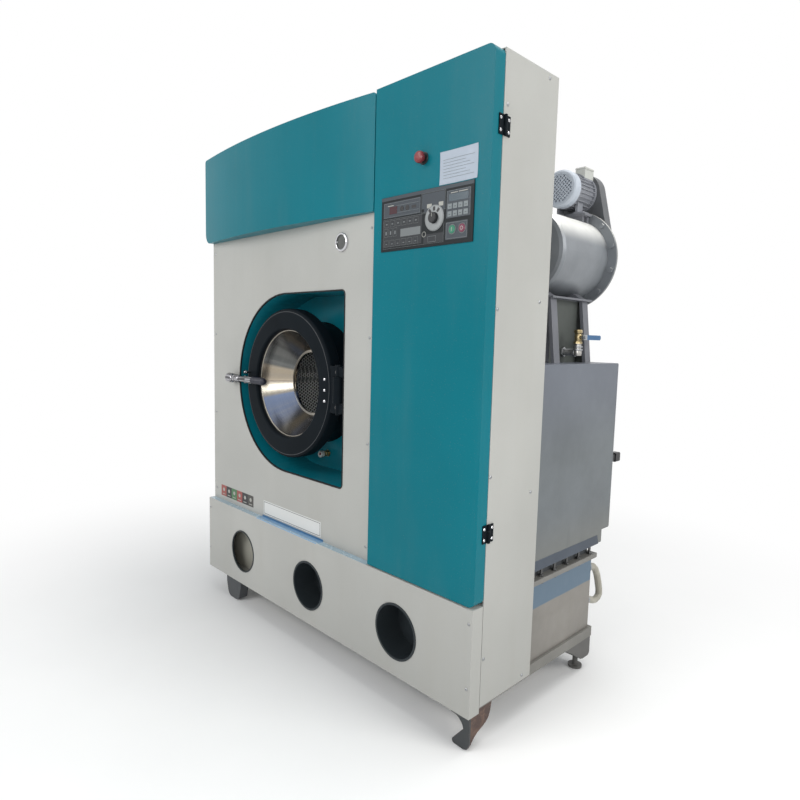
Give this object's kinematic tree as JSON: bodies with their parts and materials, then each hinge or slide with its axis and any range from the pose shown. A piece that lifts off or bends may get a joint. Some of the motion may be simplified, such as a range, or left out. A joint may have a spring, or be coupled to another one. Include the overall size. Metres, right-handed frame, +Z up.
{
  "type": "dry cleaning machine",
  "caption": "Free-standing front-loading dry cleaning machine with a round door, a control column, a bowed hood, and a still with a belt-driven blower behind.",
  "frame": {"origin": "centre of the footprint of the bounding box, on the floor", "axes": "+X to the machine's right as seen from the front, +Y from the loading door to the back, +Z up"},
  "size_m": [1.5497, 0.85, 1.869],
  "materials": {
    "teal_paint": "smooth gloss enamel",
    "white_paint": "semi-gloss powder coat",
    "frame_grey": "dull enamel",
    "rusty_leg": "brown primer with rust",
    "silver_paint": "silver-grey enamel",
    "still_grey": "grey enamel",
    "motor_grey": "blue-grey enamel",
    "stainless": "brushed",
    "chrome": "polished",
    "black_enamel": "satin",
    "black_plastic": "fine grain",
    "dark_panel": "printed film",
    "rubber": "moulded",
    "glass": "clear",
    "red_plastic": "moulded",
    "green_plastic": "moulded",
    "brass": "cast",
    "blue_plastic": "dipped",
    "hose": "smooth",
    "aluminium": "turned",
    "cast_iron": "painted casting"
  },
  "bodies": {
    "machine": {"base_frame": "frame_grey", "front_left_foot": "frame_grey", "front_right_leg": "rusty_leg", "rear_feet": "silver_paint", "upright_frame": "frame_grey", "plinth_panel": "white_paint", "porthole_collars": "black_plastic", "solvent_tank": "stainless", "front_panel": "white_paint", "recess_pan": "teal_paint", "sight_glass": "chrome", "hood_cover": "teal_paint", "side_panels": "white_paint", "column_cabinet": "white_paint", "switchgear": "black_plastic", "cabinet_hinges": "black_enamel", "hinge_bracket": "black_enamel", "hinge_pin": "chrome", "tub": "stainless", "tub_collar": "stainless", "door_gasket": "rubber", "bearing_housing": "cast_iron", "drive_belt": "rubber", "drive_motor": "motor_grey", "heater_box": "silver_paint", "blower_casing": "silver_paint", "blower_cover": "silver_paint", "blower_motor": "motor_grey", "fan_belt": "rubber", "belt_guard": "silver_paint", "blower_stand": "silver_paint", "still_box": "still_grey", "flange_joint": "still_grey", "drain_hose": "hose", "ball_valve": "brass"},
    "column_door": {"column_door": "teal_paint", "door_frame": "teal_paint", "door_hinges": "black_enamel", "control_panel": "dark_panel", "button_collar": "black_plastic"},
    "program_dial": {"program_dial": "aluminium"},
    "start_button": {"start_button": "green_plastic"},
    "stop_button": {"stop_button": "red_plastic"},
    "emergency_button": {"emergency_button": "red_plastic"},
    "loading_door": {"door_ring": "black_enamel", "door_funnel": "stainless", "door_glass": "glass", "glass_retainer": "stainless", "hinge_block": "black_enamel"},
    "clamp_handle": {"clamp_handle": "chrome"},
    "clamp_knob": {"clamp_knob": "chrome"},
    "drum": {"drum": "stainless", "drum_back": "stainless", "drum_shaft": "cast_iron"},
    "motor_pulley": {"motor_pulley": "cast_iron"},
    "fan_wheel": {"fan_wheel": "aluminium"},
    "fan_motor_pulley": {"fan_motor_pulley": "cast_iron"},
    "still_rear_door": {"still_rear_door": "still_grey"},
    "rear_latch": {"rear_latch": "black_plastic"},
    "valve_lever": {"valve_lever": "blue_plastic"}
  },
  "joints": [
    {"name": "column_door_swing", "type": "hinge", "parent": "machine", "child": "column_door", "pos_m": [0.77, -0.35, 1.149], "axis": [0, 0, 1], "range_deg": [0, 110]},
    {"name": "program_dial_turn", "type": "hinge", "parent": "column_door", "child": "program_dial", "pos_m": [0.581, -0.4, 1.467], "axis": [0, 1, 0], "range_deg": [0, 330]},
    {"name": "start_button_press", "type": "slide", "parent": "column_door", "child": "start_button", "axis": [0, 1, 0], "range_m": [0, 0.0015], "stiffness_N_per_m": 800, "springref_m": -0.002},
    {"name": "stop_button_press", "type": "slide", "parent": "column_door", "child": "stop_button", "axis": [0, 1, 0], "range_m": [0, 0.0015], "stiffness_N_per_m": 800, "springref_m": -0.002},
    {"name": "emergency_button_press", "type": "slide", "parent": "column_door", "child": "emergency_button", "axis": [0, 1, 0], "range_m": [0, 0.005]},
    {"name": "loading_door_swing", "type": "hinge", "parent": "machine", "child": "loading_door", "pos_m": [0.1335, -0.37, 0.958], "axis": [0, 0, 1], "range_deg": [0, 110]},
    {"name": "clamp_turn", "type": "hinge", "parent": "loading_door", "child": "clamp_handle", "pos_m": [-0.436, -0.395, 0.958], "axis": [0, 1, 0], "range_deg": [0, 58]},
    {"name": "clamp_knob_turn", "type": "hinge", "parent": "clamp_handle", "child": "clamp_knob", "pos_m": [-0.535, -0.395, 0.958], "axis": [1, 0, 0], "continuous": true},
    {"name": "drum_spin", "type": "hinge", "parent": "machine", "child": "drum", "pos_m": [-0.179, 0, 0.958], "axis": [0, 1, 0], "continuous": true},
    {"name": "motor_pulley_spin", "type": "hinge", "parent": "machine", "child": "motor_pulley", "pos_m": [0.195, 0.336, 0.536], "axis": [0, 1, 0], "continuous": true},
    {"name": "fan_spin", "type": "hinge", "parent": "machine", "child": "fan_wheel", "pos_m": [0.57, 0.3, 1.43], "axis": [0, 1, 0], "continuous": true},
    {"name": "fan_motor_pulley_spin", "type": "hinge", "parent": "machine", "child": "fan_motor_pulley", "pos_m": [0.57, 0.404, 1.666], "axis": [0, 1, 0], "continuous": true},
    {"name": "still_door_swing", "type": "hinge", "parent": "machine", "child": "still_rear_door", "pos_m": [0.374, 0.372, 0.78], "axis": [0, 0, 1], "range_deg": [0, 105]},
    {"name": "rear_latch_turn", "type": "hinge", "parent": "still_rear_door", "child": "rear_latch", "pos_m": [0.748, 0.38, 0.735], "axis": [0, 1, 0], "range_deg": [0, 90]},
    {"name": "valve_lever_turn", "type": "hinge", "parent": "machine", "child": "valve_lever", "pos_m": [0.725, 0.175, 1.156], "axis": [1, 0, 0], "range_deg": [0, 90]}
  ],
  "couplings": [
    {"joint": "motor_pulley_spin", "follows": "drum_spin", "ratio": 4.9556},
    {"joint": "fan_motor_pulley_spin", "follows": "fan_spin", "ratio": 2.4054}
  ]
}
